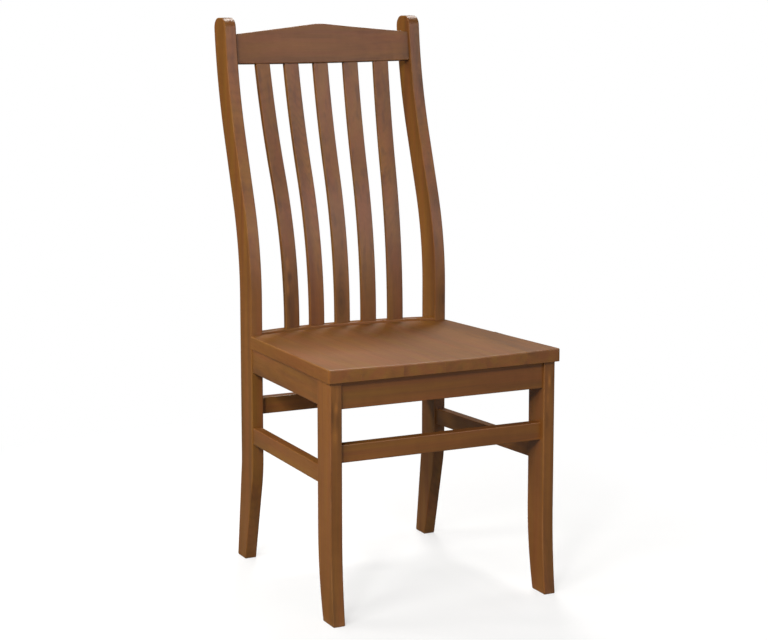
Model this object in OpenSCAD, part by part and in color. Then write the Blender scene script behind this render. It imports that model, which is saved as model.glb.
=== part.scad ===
// Wooden side chair with a slatted, curved back and a solid board seat.
// Millimetres. X is the width, Y runs from front to back, Z is up from the floor.
// Left and right are as seen from the front of the chair.
// Depths below are measured from the straight front face of the front legs.

/* [Overall] */
// Height of the seat's top at its front edge
seat_h = 457; // [430:1:485]
// Height of the back posts
back_h = 1040; // [980:1:1100]
// Width over the front legs
front_w = 447; // [426:1:480]
// Width over the back posts
rear_w = 414; // [400:1:436]
// Depth from the front legs' face to the back posts' rear face at seat height
frame_d = 451; // [420:1:490]

/* [Front legs] */
// Thickness of a front leg, sideways
leg_t = 23; // [21.5:0.5:28]
// Depth of a front leg, front to back
leg_d = 55; // [52:1:62]
// Height at which a front leg starts to curve forward
leg_bend_z = 165; // [130:1:205]
// Reach of a front foot in front of its leg
leg_flare = 11; // [4:0.5:18]
// Depth of a front foot at the floor
leg_foot_d = 45; // [40:1:50]

/* [Back posts] */
// Thickness of a back post, sideways
post_t = 23.5; // [21.5:0.5:28]
// Depth of a back post, front to back
post_d = 56; // [52:1:64]
// Height at which a back post starts to curve back towards its foot
post_bend_z = 210; // [190:1:215]
// Radius of that curve
post_bend_r = 250; // [200:10:320]
// Reach of a rear foot behind its post
post_flare = 25; // [14:1:34]
// Depth of a rear foot at the floor
post_foot_d = 38; // [34:1:48]
// Height at which a back post starts to lean back above the seat
lean_z = 512; // [495:1:530]
// Radius of the bend into the lean
lean_r = 562; // [480:2:640]
// Angle of the lean
lean_angle = 19; // [16:0.5:21]
// Length of the straight stretch in the lean
lean_straight = 130; // [90:1:150]
// Radius of the bend back towards upright
upright_r = 874; // [800:2:960]
// Radius that rounds a post's top, front and rear
post_top_r = 20; // [6:1:24]

/* [Seat] */
// Thickness of the seat boards
seat_t = 24; // [20:0.5:28]
// Fall of the seat from its front edge to the back posts
seat_drop = 10; // [0:0.5:16]
// Reach of the seat in front of the front legs
seat_front_over = 8; // [4:0.5:12]
// Reach of the seat beyond the front legs, at each side of its front edge
seat_side_over = 6; // [3:0.5:10]
// Reach of the seat beyond the back posts, at each side of its rear corners
seat_rear_over = 1.5; // [0:0.5:4]
// Width of the four inner seat boards
seat_board_w = 82; // [76:0.5:86]
// Place of the middle glue joint, from the chair's middle plane
seat_joint_x = -4; // [-8:0.5:8]
// Depth of the hollow at the seat's front edge
scoop_d = 2.5; // [1.5:0.5:4]
// Width of the hollow at the seat's front edge
scoop_w = 400; // [340:5:440]

/* [Seat frame] */
// Height of the front apron
front_apron_h = 49; // [42:1:60]
// Thickness of the front apron
front_apron_t = 20; // [18:0.5:21]
// Distance of the front apron behind the front legs' face
front_apron_set = 5; // [3:0.5:7]
// Height of the side aprons
side_apron_h = 47; // [42:1:54]
// Thickness of the side aprons
side_apron_t = 19; // [17:0.5:20]
// Distance of the side aprons and side stretchers inside the legs' outer faces
side_set = 2; // [1:0.5:3]
// Length of the corner blocks along the front apron and the lower back rail
block_w = 62; // [56:1:72]
// Length of the corner blocks along the side aprons
block_l = 48; // [44:1:60]
// Thickness of the corner blocks
block_t = 22; // [20:0.5:25]

/* [Stretchers] */
// Height of the stretchers' section
stretcher_h = 32; // [28:0.5:36]
// Thickness of the front and rear stretchers
stretcher_t = 20; // [18:0.5:22]
// Height of the front stretcher's lower edge
front_stretcher_z = 287; // [282:1:305]
// Distance of the front stretcher behind the front legs' face
front_stretcher_set = 11; // [7:0.5:15]
// Height of the rear stretcher's lower edge
rear_stretcher_z = 289; // [282:1:305]
// Distance of the rear stretcher behind the posts' front face
rear_stretcher_set = 23; // [18:0.5:28]
// Thickness of the side stretchers
side_stretcher_t = 18; // [16:0.5:20]
// Height of a side stretcher's lower edge at the front leg
side_stretcher_z = 245.5; // [232:0.5:248]
// Fall of a side stretcher from the front leg to the back post
side_stretcher_drop = 8.5; // [0:0.5:14]

/* [Back] */
// Radius of the bowed lower back rail's front face, seen from above
rail_r = 690; // [640:10:800]
// Height of the lower back rail
rail_h = 72; // [66:1:80]
// Thickness of the lower back rail
rail_t = 20; // [19:0.5:22]
// Height of the lower back rail's top above the seat
rail_proud = 5; // [3:0.5:12]
// Distance of the lower back rail's ends behind the posts' front face
rail_set = 4; // [3:0.5:10]
// Radius of the bowed crest rail's front face, seen from above
crest_r = 1060; // [960:10:1300]
// Thickness of the crest rail
crest_t = 20; // [19:0.5:22]
// Height of the crest rail at its ends
crest_end_h = 56.5; // [52:0.5:62]
// Height of the crest rail at its peak
crest_mid_h = 76; // [66:0.5:84]
// Radius that rounds the peak
crest_peak_r = 150; // [60:5:300]
// Lean of the crest rail
crest_lean = 8; // [6:0.5:10]
// Distance of the crest rail's lower edge below the posts' tops
crest_below_top = 88.5; // [84:0.5:100]
// Distance of the crest rail's ends behind the posts' front face
crest_set = 6; // [4:0.5:9]
// Width of a back slat
slat_w = 31; // [26:0.5:36]
// Thickness of a back slat
slat_t = 9; // [8:0.5:10]
// Distance between slats at the lower back rail, middle to middle
slat_pitch = 55; // [48:0.5:60]
// Wood in front of the middle slat at the crest rail's lower edge
slat_cover = 5; // [4.5:0.25:6]
// Radius of the slats' lower bend
slat_low_r = 932; // [860:4:1000]
// Radius of the slats' upper bend
slat_high_r = 1687; // [1500:10:1800]

/* [Joints] */
// Thickness of the tenons of rails, aprons and stretchers
tenon_t = 9; // [8:0.5:10]
// Length of the tenons that enter the legs and posts sideways
cross_tenon_l = 17; // [12:0.5:19]
// Length of the tenons that enter the legs and posts from front or rear
side_tenon_l = 24; // [16:0.5:25]
// Shoulder above and below the tenons
tenon_shoulder = 5; // [4:0.5:7]
// Height of the lower back rail's tenons
rail_tenon_h = 34; // [28:0.5:36]
// Wood between those tenons and the tenons of the side aprons
tenon_space = 8; // [6:0.5:12]
// Shoulder above and below the crest rail's tenons
crest_shoulder = 9; // [7:0.5:12]
// Length of the slats' tenons
slat_tenon_l = 15; // [10:0.5:20]
// Shoulder at each edge of the slats' tenons
slat_shoulder = 3; // [2:0.5:5]
// Shoulder at the front and rear of the slats' tenons
slat_cheek = 1; // [0.5:0.25:1.5]
// Clearance around every tenon and between the seat and what it passes
fit_gap = 0.1; // [0.05:0.05:0.3]
// Clearance at the tip of every tenon and around the corner blocks' notches
tip_gap = 0.8; // [0.5:0.1:1.5]

/* [Screws] */
// Diameter of the screws
screw_d = 4.2; // [3.5:0.1:5]
// Diameter of the screws' heads
screw_head_d = 8.4; // [7.6:0.1:10]
// Height of the screws' heads
screw_head_h = 3; // [2.4:0.1:3.4]
// Length of the screws that hold the corner blocks to the frame, under the head
block_screw_l = 38; // [36:0.5:40]
// Length of the screws that hold the seat, under the head
seat_screw_l = 32; // [30:0.5:33]
// Length of a screw's hold in the piece it enters last
screw_hold = 14; // [12:0.5:15]

/* [Hidden] */

post_wood = "#80573d";
rail_wood = "#744a30";
slat_wood = "#855f4b";
seat_wood = "#967355";
block_wood = "#b08a5c";
screw_steel = "#b9b4a6";

// Steps along each bend of an outline, and facets of round solids
bend_steps = 12;
bow_fn = 720;
screw_fn = 32;
// Overlap of shapes that are joined into one solid
bite = 1;
// Larger than the chair, for solids that cut everything beyond a plane
far = 3000;

front_in = front_w / 2 - leg_t;
rear_in = rear_w / 2 - post_t;
post_y = frame_d - post_d;

// Heights of the seat's top and underside at a depth y
seat_slope = seat_drop / (post_y + seat_front_over);
function seat_top(y) = seat_h - seat_slope * (y + seat_front_over);
function seat_under(y) = seat_top(y) - seat_t;

// Outline points moved to a depth, listed the other way round, or with depth reversed
function moved(pts, dy) = [for (p = pts) [p[0] + dy, p[1]]];
function back_to_front(pts) = [for (i = [len(pts) - 1:-1:0]) pts[i]];
function flipped(pts) = [for (p = pts) [-p[0], p[1]]];

// Angle of a line that falls away by rise over a length run, when an arc of radius r
// that touches it rounds its start
function tangent_angle(run, rise, r) = asin(r / norm([r - rise, run])) - atan((r - rise) / run);

// One arc from the floor, where it reaches out by e, up to the upright at height zb
function arc_foot(zb, e) =
    let (r = (zb * zb + e * e) / (2 * e), a = asin(zb / r))
    [for (i = [bend_steps:-1:0])
        let (b = a * i / bend_steps) [r * (1 - cos(b)), zb - r * sin(b)]];

// A straight foot that reaches out by e, with an arc of radius r into the upright
function straight_foot(zb, e, r) =
    let (a = tangent_angle(zb, e, r))
    concat([[e, 0]], [for (i = [bend_steps:-1:0])
        let (b = a * i / bend_steps) [r * (1 - cos(b)), zb - r * sin(b)]]);

// Back post: the bend into the lean, its straight stretch and the bend back,
// whose centre lies at upright_y, upright_z
lean_end_y = post_y + lean_r * (1 - cos(lean_angle)) + lean_straight * sin(lean_angle);
lean_end_z = lean_z + lean_r * sin(lean_angle) + lean_straight * cos(lean_angle);
upright_y = lean_end_y - upright_r * cos(lean_angle);
upright_z = lean_end_z + upright_r * sin(lean_angle);
function post_front(z) = upright_y + upright_r * cos(asin((upright_z - z) / upright_r));

// The round of a post's top: where it meets the front (1) or rear face (-1), and its centre
function top_turn(side) =
    asin((upright_z - back_h + post_top_r) / (upright_r + side * post_top_r));
function top_round_y(side) = upright_y + (upright_r + side * post_top_r) * cos(top_turn(side));

// A post's face from the seat up to that round
function lean_face(side) = concat(
    [for (i = [0:bend_steps]) let (b = lean_angle * i / bend_steps)
        [post_y + lean_r * (1 - cos(b)), lean_z + lean_r * sin(b)]],
    [for (i = [0:bend_steps])
        let (b = lean_angle + (top_turn(side) - lean_angle) * i / bend_steps)
        [upright_y + upright_r * cos(b), upright_z - upright_r * sin(b)]]
);
post_line = concat(
    moved(straight_foot(post_bend_z, post_flare + post_d - post_foot_d, post_bend_r), post_y),
    lean_face(1),
    [for (i = [1:bend_steps])
        let (b = top_turn(1) + (90 - top_turn(1)) * i / bend_steps)
        [top_round_y(1) - post_top_r * cos(b), back_h - post_top_r + post_top_r * sin(b)]]
);
post_rear_line = moved(concat(
    moved(straight_foot(post_bend_z, post_flare, post_bend_r), post_y),
    lean_face(-1),
    [for (i = [1:bend_steps])
        let (b = -top_turn(-1) + (90 + top_turn(-1)) * i / bend_steps)
        [top_round_y(-1) + post_top_r * cos(b), back_h - post_top_r + post_top_r * sin(b)]]
), post_d);

// The middle between the chair's foremost and rearmost edges
mid_y = (max([for (p = post_rear_line) p[0]]) - max(leg_flare, seat_front_over)) / 2;

// Lower back rail: depth of its front face in the middle, height of its top, its tenons
rail_bow = rail_r - sqrt(rail_r * rail_r - rear_in * rear_in);
rail_y = post_y + rail_set + rail_bow;
rail_axis_y = rail_y - rail_r;
rail_top = seat_top(rail_y) + rail_proud;
rail_tenon_y = post_y + rail_set + rail_t / 2;
rail_tenon_z = rail_top - tenon_shoulder - rail_tenon_h;

// Crest rail: its lower front edge in the middle, and the slope and rounding of its top
crest_z = back_h - crest_below_top;
crest_bow = crest_r - sqrt(crest_r * crest_r - rear_in * rear_in);
crest_y = post_front(crest_z) + crest_set + crest_bow;
crest_slope = tangent_angle(rear_in, crest_mid_h - crest_end_h, crest_peak_r);
crest_peak_z = crest_mid_h - crest_peak_r;

// Slats: they start in the middle of the rail's thickness and bend back in two arcs that
// share a tangent. They stand square to the rail's bow, so they spread as they lean back
slat_y = rail_y + (rail_t - slat_t) / 2;
slat_rise = crest_z - rail_top;
slat_reach = crest_y + slat_cover - slat_y;
slat_span = norm([slat_low_r - slat_reach, slat_rise]);
slat_both_r = slat_low_r + slat_high_r;
slat_lean = atan2(slat_rise, slat_low_r - slat_reach)
    - acos((pow(slat_span, 2) + pow(slat_both_r, 2) - pow(slat_high_r, 2))
        / (2 * slat_span * slat_both_r));
slat_centre_y = slat_low_r - slat_both_r * cos(slat_lean);
slat_centre_z = rail_top + slat_both_r * sin(slat_lean);
slat_end = asin((slat_centre_z - crest_z - crest_mid_h) / slat_high_r);
slat_step = asin(slat_pitch / (slat_y - rail_axis_y));

// An outline [depth, height] as a slab from x0 to x1
module side_slab(x0, x1, pts) {
    translate([x0, 0, 0]) rotate([90, 0, 90]) linear_extrude(x1 - x0) polygon(pts);
}

// A piece with one outline in plan and one from the side
module board(plan, side) {
    intersection() {
        linear_extrude(far) polygon(plan);
        side_slab(-far / 2, far / 2, side);
    }
}

module box(from, to) {
    translate(from) cube(to - from);
}

// The chair is modelled from its front legs' face and placed with its middle over the origin
module place() {
    translate([0, -mid_y, 0]) children();
}

module on_left() {
    mirror([1, 0, 0]) children();
}

module both_sides() {
    children();
    on_left() children();
}

// Tenons of a cross piece beyond x = reach at both sides, or their mortises
module cross_tenons(reach, y, z0, z1, gap = 0) {
    tip = gap > 0 ? tip_gap : 0;
    both_sides() box(
        [reach - bite, y - tenon_t / 2 - gap, z0 - gap],
        [reach + cross_tenon_l + tip, y + tenon_t / 2 + gap, z1 + gap]
    );
}

// Tenons of a side piece into the front leg and into the post, or their mortises
module leg_tenon(x, z0, z1, gap = 0) {
    tip = gap > 0 ? tip_gap : 0;
    box(
        [x - tenon_t / 2 - gap, leg_d - side_tenon_l - tip, z0 - gap],
        [x + tenon_t / 2 + gap, leg_d + bite, z1 + gap]
    );
}

module post_tenon(x, z0, z1, gap = 0) {
    tip = gap > 0 ? tip_gap : 0;
    box(
        [x - tenon_t / 2 - gap, post_y - bite, z0 - gap],
        [x + tenon_t / 2 + gap, post_y + side_tenon_l + tip, z1 + gap]
    );
}

// Side pieces taper in plan from the front legs to the posts
side_front_x = front_w / 2 - side_set;
side_rear_x = rear_w / 2 - side_set;
side_taper = (side_front_x - side_rear_x) / (post_y - leg_d);
function side_plan(t) = [
    [side_front_x, leg_d], [side_rear_x, post_y],
    [side_rear_x - t, post_y], [side_front_x - t, leg_d]
];
function side_inner(y) = side_front_x - side_apron_t - side_taper * (y - leg_d);

// Side aprons
function side_apron_z(y) = seat_under(y) - side_apron_h;

module side_apron_tenons(gap = 0) {
    leg_tenon(side_front_x - side_apron_t / 2, side_apron_z(leg_d) + tenon_shoulder,
        seat_under(leg_d) - tenon_shoulder, gap);
    post_tenon(side_rear_x - side_apron_t / 2, side_apron_z(post_y) + tenon_shoulder,
        rail_tenon_z - tenon_space, gap);
}

module side_apron() {
    color(rail_wood) difference() {
        union() {
            board(side_plan(side_apron_t), [
                [0, side_apron_z(0)], [frame_d, side_apron_z(frame_d)],
                [frame_d, seat_under(frame_d)], [0, seat_under(0)]
            ]);
            side_apron_tenons();
        }
        right_block_screws(fit_gap);
    }
}

// Side stretchers
side_stretcher_slope = side_stretcher_drop / (post_y - leg_d);
function side_stretcher_low(y) = side_stretcher_z - side_stretcher_slope * (y - leg_d);

module side_stretcher_tenons(gap = 0) {
    leg_tenon(side_front_x - side_stretcher_t / 2,
        side_stretcher_low(leg_d) + tenon_shoulder,
        side_stretcher_low(leg_d) + stretcher_h - tenon_shoulder, gap);
    post_tenon(side_rear_x - side_stretcher_t / 2,
        side_stretcher_low(post_y) + tenon_shoulder,
        side_stretcher_low(post_y) + stretcher_h - tenon_shoulder, gap);
}

module side_stretcher() {
    color(rail_wood) {
        board(side_plan(side_stretcher_t), [
            [0, side_stretcher_low(0)], [frame_d, side_stretcher_low(frame_d)],
            [frame_d, side_stretcher_low(frame_d) + stretcher_h],
            [0, side_stretcher_low(0) + stretcher_h]
        ]);
        side_stretcher_tenons();
    }
}

// Front apron, with a top that follows the seat's underside
front_apron_back = front_apron_set + front_apron_t;
front_apron_z = seat_under(front_apron_set) - front_apron_h;

module front_apron_tenons(gap = 0) {
    cross_tenons(front_in, front_apron_set + front_apron_t / 2,
        front_apron_z + tenon_shoulder, seat_under(front_apron_back) - tenon_shoulder, gap);
}

module front_apron() {
    color(rail_wood) difference() {
        union() {
            side_slab(-front_in, front_in, [
                [front_apron_set, front_apron_z], [front_apron_back, front_apron_z],
                [front_apron_back, seat_under(front_apron_back)],
                [front_apron_set, seat_under(front_apron_set)]
            ]);
            front_apron_tenons();
        }
        both_sides() right_block_screws(fit_gap);
    }
}

// Front and rear stretchers
front_stretcher_y = front_stretcher_set + stretcher_t / 2;
rear_stretcher_y = post_y + rear_stretcher_set + stretcher_t / 2;

module stretcher_tenons(reach, y, z, gap = 0) {
    cross_tenons(reach, y, z + tenon_shoulder, z + stretcher_h - tenon_shoulder, gap);
}

module stretcher(reach, y, z) {
    color(rail_wood) {
        box([-reach, y - stretcher_t / 2, z], [reach, y + stretcher_t / 2, z + stretcher_h]);
        stretcher_tenons(reach, y, z);
    }
}

// Front leg on the right, with its mortises
module front_leg() {
    color(post_wood) difference() {
        side_slab(front_in, front_in + leg_t, concat(
            flipped(arc_foot(leg_bend_z, leg_flare)),
            [[0, seat_under(0)], [leg_d, seat_under(leg_d)]],
            moved(back_to_front(flipped(
                arc_foot(leg_bend_z, leg_d + leg_flare - leg_foot_d))), leg_d)
        ));
        front_apron_tenons(fit_gap);
        stretcher_tenons(front_in, front_stretcher_y, front_stretcher_z, fit_gap);
        side_apron_tenons(fit_gap);
        side_stretcher_tenons(fit_gap);
    }
}

// Back post on the right, with its mortises
module back_post() {
    color(post_wood) difference() {
        side_slab(rear_in, rear_in + post_t, concat(post_line, back_to_front(post_rear_line)));
        rail_tenons(fit_gap);
        crest_tenons(fit_gap);
        stretcher_tenons(rear_in, rear_stretcher_y, rear_stretcher_z, fit_gap);
        side_apron_tenons(fit_gap);
        side_stretcher_tenons(fit_gap);
    }
}

// Lower back rail
module rail_disc(r) {
    translate([0, rail_axis_y, 0]) cylinder(r = r, h = far, $fn = bow_fn);
}

module rail_tenons(gap = 0) {
    cross_tenons(rear_in, rail_tenon_y, rail_tenon_z, rail_tenon_z + rail_tenon_h, gap);
}

module back_rail() {
    color(rail_wood) difference() {
        union() {
            intersection() {
                difference() {
                    rail_disc(rail_r + rail_t);
                    rail_disc(rail_r);
                }
                box([-rear_in, post_y, rail_top - rail_h], [rear_in, post_y + far, rail_top]);
            }
            rail_tenons();
        }
        for (i = [1:5]) slat_tenons(i, fit_gap);
        both_sides() right_block_screws(fit_gap);
    }
}

// Crest rail, in its own leaning frame with the lower front edge's middle as the origin
module crest_frame() {
    translate([0, crest_y, crest_z]) rotate([-crest_lean, 0, 0]) children();
}

module crest_disc(r) {
    translate([0, -crest_r, -far / 2]) cylinder(r = r, h = far, $fn = bow_fn);
}

module crest_tenons(gap = 0) {
    crest_frame() cross_tenons(rear_in, crest_t / 2 - crest_bow,
        crest_shoulder, crest_end_h - crest_shoulder, gap);
}

module crest_rail() {
    color(rail_wood) difference() {
        union() {
            crest_frame() intersection() {
                difference() {
                    crest_disc(crest_r + crest_t);
                    crest_disc(crest_r);
                }
                translate([0, crest_r / 2, 0]) rotate([90, 0, 0]) linear_extrude(crest_r)
                    polygon(concat(
                        [[-rear_in, 0], [rear_in, 0], [rear_in, crest_end_h]],
                        [for (i = [bend_steps:-1:-bend_steps])
                            let (b = crest_slope * i / bend_steps)
                            [crest_peak_r * sin(b), crest_peak_z + crest_peak_r * cos(b)]],
                        [[-rear_in, crest_end_h]]
                    ));
            }
            crest_tenons();
        }
        for (i = [1:5]) slat_tenons(i, fit_gap);
    }
}

// Side outline of a slat: its face at a distance in behind its front, upwards
function slat_face(in) = concat(
    [[in, rail_top - rail_h]],
    [for (k = [0:bend_steps]) let (b = slat_lean * k / bend_steps)
        [slat_low_r - (slat_low_r - in) * cos(b), rail_top + (slat_low_r - in) * sin(b)]],
    [for (k = [1:bend_steps])
        let (b = slat_lean + (slat_end - slat_lean) * k / bend_steps)
        [slat_centre_y + (slat_high_r + in) * cos(b), slat_centre_z - (slat_high_r + in) * sin(b)]]
);

// Slat number i at its full length, from inside the lower rail to inside the crest rail.
// Number 3 stands in the middle. side and cheek take wood off its edges and its faces
module slat_length(i, side = 0, cheek = 0) {
    translate([0, rail_axis_y, 0]) rotate([0, 0, (3 - i) * slat_step])
        translate([0, slat_y - rail_axis_y, 0]) side_slab(-slat_w / 2 + side, slat_w / 2 - side,
            concat(slat_face(cheek), back_to_front(slat_face(slat_t - cheek))));
}

// All space above the lower rail's top and below the crest rail, grown by depth into both
module between_rails(depth) {
    intersection() {
        box([-far, 0, rail_top - depth], [far, far, far]);
        crest_frame() box([-far, -far, -far], [far, far, depth]);
    }
}

module slat_tenons(i, gap = 0) {
    tip = gap > 0 ? tip_gap : 0;
    difference() {
        intersection() {
            slat_length(i, slat_shoulder - gap, slat_cheek - gap);
            between_rails(slat_tenon_l + tip);
        }
        between_rails(-bite);
    }
}

module slat(i) {
    color(slat_wood) {
        intersection() {
            slat_length(i);
            between_rails(0);
        }
        slat_tenons(i);
    }
}

// Seat: its outline, its fall, the hollow that fades to the rear, and its boards
seat_half_front = front_w / 2 + seat_side_over;
seat_half_rear = rear_w / 2 + seat_rear_over;
scoop_r = (scoop_w * scoop_w / 4 + scoop_d * scoop_d) / (2 * scoop_d);
scoop_run = frame_d + post_d;
scoop_fall = atan(seat_slope - scoop_d / scoop_run);

module seat_panel() {
    difference() {
        intersection() {
            board([
                [-seat_half_front, -seat_front_over], [seat_half_front, -seat_front_over],
                [seat_half_rear, post_y], [rear_in - fit_gap, post_y],
                [rear_in - fit_gap, frame_d], [-rear_in + fit_gap, frame_d],
                [-rear_in + fit_gap, post_y], [-seat_half_rear, post_y]
            ], [
                [-seat_front_over, seat_under(-seat_front_over)], [frame_d, seat_under(frame_d)],
                [frame_d, seat_top(frame_d)], [-seat_front_over, seat_top(-seat_front_over)]
            ]);
            rail_disc(rail_r - fit_gap);
        }
        translate([0, -seat_front_over, seat_h - scoop_d]) rotate([90 - scoop_fall, 0, 0])
            translate([0, 0, -scoop_run]) linear_extrude(scoop_run + seat_t) polygon([
                for (i = [-bend_steps - 1:bend_steps + 1])
                    let (x = scoop_w / 2 * i / bend_steps)
                    [x, scoop_r - sqrt(scoop_r * scoop_r - x * x)]
            ]);
        both_sides() right_seat_screws(fit_gap);
    }
}

// Board number i, from the left; the outer boards take what is left of the width
module seat_board(i) {
    x0 = i == 1 ? -far : seat_joint_x + (i - 4) * seat_board_w;
    x1 = i == 6 ? far : seat_joint_x + (i - 3) * seat_board_w;
    color(seat_wood) intersection() {
        seat_panel();
        box([x0, -far, 0], [x1, far, far]);
    }
}

// Corner blocks on the right: the front one fits around the leg, the rear one around the post
front_block_end = [front_in - block_w, front_apron_back];
front_block_side = [side_inner(leg_d + block_l), leg_d + block_l];
rear_block_x = rear_in - block_w;
rear_block_end = [rear_block_x,
    rail_axis_y + sqrt(rail_r * rail_r - rear_block_x * rear_block_x)];
rear_block_side = [side_inner(post_y - block_l), post_y - block_l];

module block_slab(plan) {
    board(plan, [
        [0, seat_under(0) - block_t], [frame_d, seat_under(frame_d) - block_t],
        [frame_d, seat_under(frame_d)], [0, seat_under(0)]
    ]);
}

module front_block() {
    color(block_wood) difference() {
        block_slab([
            front_block_end, [front_in - tip_gap, front_apron_back],
            [front_in - tip_gap, leg_d + tip_gap], [side_inner(leg_d + tip_gap), leg_d + tip_gap],
            front_block_side
        ]);
        right_block_screws(fit_gap);
        right_seat_screws(fit_gap);
    }
}

module rear_block() {
    color(block_wood) difference() {
        intersection() {
            block_slab([
                rear_block_side, [side_inner(post_y - tip_gap), post_y - tip_gap],
                [rear_in - tip_gap, post_y - tip_gap], [rear_in - tip_gap, frame_d],
                [rear_block_x, frame_d], rear_block_end
            ]);
            rail_disc(rail_r - fit_gap);
        }
        right_block_screws(fit_gap);
        right_seat_screws(fit_gap);
    }
}

// A screw that points along +Z, with the underside of its head at the origin. With a gap it
// is the hole for it, with room for the head to go in
module screw(l, gap = 0) {
    point_l = screw_d;
    translate([0, 0, -bite])
        cylinder(d = screw_d + 2 * gap, h = l - point_l + bite, $fn = screw_fn);
    translate([0, 0, l - point_l])
        cylinder(d1 = screw_d + 2 * gap, d2 = gap, h = point_l + gap, $fn = screw_fn);
    if (gap > 0) {
        translate([0, 0, -block_w])
            cylinder(d = screw_head_d + 2 * tip_gap, h = block_w, $fn = screw_fn);
    } else difference() {
        translate([0, 0, -screw_head_h])
            cylinder(d = screw_head_d, h = screw_head_h, $fn = screw_fn);
        for (a = [0, 90]) rotate([0, 0, a]) box(
            [-screw_head_d / 4, -screw_head_d / 16, -screw_head_h - bite],
            [screw_head_d / 4, screw_head_d / 16, -screw_head_h / 2]
        );
    }
}

// Block screws on the right. Each enters where its block is just thick enough to carry it
block_screw_in = block_screw_l - screw_hold;
block_depth = block_screw_in + bite;

module block_screw_at(x, y, turn, gap) {
    translate([x, y, seat_under(y) - block_t / 2]) rotate([0, 0, turn]) rotate([90, 0, 0])
        translate([0, 0, -block_screw_in]) screw(block_screw_l, gap);
}

module right_block_screws(gap = 0) {
    front_rise = (front_block_side[1] - front_block_end[1])
        / (front_block_side[0] - front_block_end[0]);
    block_screw_at(front_block_end[0] + block_depth / front_rise, front_apron_back, 0, gap);
    front_side_y = front_block_side[1] - block_depth * front_rise;
    block_screw_at(side_inner(front_side_y), front_side_y, 90 + atan(side_taper), gap);

    // The normal of the rear block's long face gives both places there
    out = [rear_block_end[1] - rear_block_side[1], rear_block_side[0] - rear_block_end[0]];
    rear_side_y = rear_block_side[1] + block_depth * out[0] / out[1];
    block_screw_at(side_inner(rear_side_y), rear_side_y, 90 + atan(side_taper), gap);
    rear_turn = atan2(out[0], out[1]) - acos((rear_block_end - [0, rail_axis_y]) * out
        / (norm(out) * (rail_r - block_depth)));
    block_screw_at(rail_r * sin(rear_turn), rail_axis_y + rail_r * cos(rear_turn),
        180 - rear_turn, gap);
}

module right_seat_screws(gap = 0) {
    for (p = [
        [front_in - block_w / 4, front_apron_back + block_l / 2],
        [rear_in - block_w / 4, post_y - block_l / 8]
    ]) translate([p[0], p[1], seat_under(p[1]) - seat_screw_l + screw_hold])
        screw(seat_screw_l, gap);
}

place() on_left() back_post();  // left_back_post
place() back_post();  // right_back_post
place() on_left() front_leg();  // left_front_leg
place() front_leg();  // right_front_leg
place() crest_rail();
place() back_rail();
place() slat(1);  // slat_1
place() slat(2);  // slat_2
place() slat(3);  // slat_3
place() slat(4);  // slat_4
place() slat(5);  // slat_5
place() seat_board(1);  // seat_board_1
place() seat_board(2);  // seat_board_2
place() seat_board(3);  // seat_board_3
place() seat_board(4);  // seat_board_4
place() seat_board(5);  // seat_board_5
place() seat_board(6);  // seat_board_6
place() front_apron();
place() on_left() side_apron();  // left_side_apron
place() side_apron();  // right_side_apron
place() stretcher(front_in, front_stretcher_y, front_stretcher_z);  // front_stretcher
place() stretcher(rear_in, rear_stretcher_y, rear_stretcher_z);  // rear_stretcher
place() on_left() side_stretcher();  // left_side_stretcher
place() side_stretcher();  // right_side_stretcher
place() on_left() front_block();  // front_left_block
place() front_block();  // front_right_block
place() on_left() rear_block();  // rear_left_block
place() rear_block();  // rear_right_block
color(screw_steel) place() both_sides() right_block_screws();  // block_screws
color(screw_steel) place() both_sides() right_seat_screws();  // seat_screws
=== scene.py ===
import math
import bmesh
import bpy
from mathutils import Matrix, Vector


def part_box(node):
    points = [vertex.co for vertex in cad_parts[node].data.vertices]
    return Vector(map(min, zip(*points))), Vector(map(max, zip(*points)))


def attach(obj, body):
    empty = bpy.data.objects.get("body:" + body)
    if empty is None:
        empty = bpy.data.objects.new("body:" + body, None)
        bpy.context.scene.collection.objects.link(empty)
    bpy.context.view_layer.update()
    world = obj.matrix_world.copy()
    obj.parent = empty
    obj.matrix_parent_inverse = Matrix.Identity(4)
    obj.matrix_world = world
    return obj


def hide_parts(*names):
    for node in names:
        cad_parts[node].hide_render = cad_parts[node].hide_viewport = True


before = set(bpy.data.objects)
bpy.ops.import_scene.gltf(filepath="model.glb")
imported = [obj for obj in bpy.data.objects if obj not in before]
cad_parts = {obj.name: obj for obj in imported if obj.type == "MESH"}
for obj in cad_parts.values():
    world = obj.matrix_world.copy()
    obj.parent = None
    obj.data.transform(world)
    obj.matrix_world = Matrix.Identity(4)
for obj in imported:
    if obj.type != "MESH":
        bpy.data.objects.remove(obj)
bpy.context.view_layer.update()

print("frame loaded:", len(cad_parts), "nodes")

# Every member is shaped in millimetres, with depths from the straight face of the front legs,
# and brought to metres and to the chair's middle when it is finished
metre = 0.001
bendSteps = 16  # flats along each arc
sharpCorner = 40  # degrees, from which two faces don't shade as one
hair = 0.01  # millimetres, within which two places are the same
apart = 1  # millimetres, past which they are clearly two


# Shaping
def arc(centre, radius, start, end):  # points [depth, height] along an arc, in degrees
    turns = [math.radians(start + (end - start) * n / bendSteps) for n in range(bendSteps + 1)]
    return [(centre[0] + radius * math.cos(t), centre[1] + radius * math.sin(t)) for t in turns]


def only(kind, geom):
    return [g for g in geom if isinstance(g, kind)]


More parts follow.
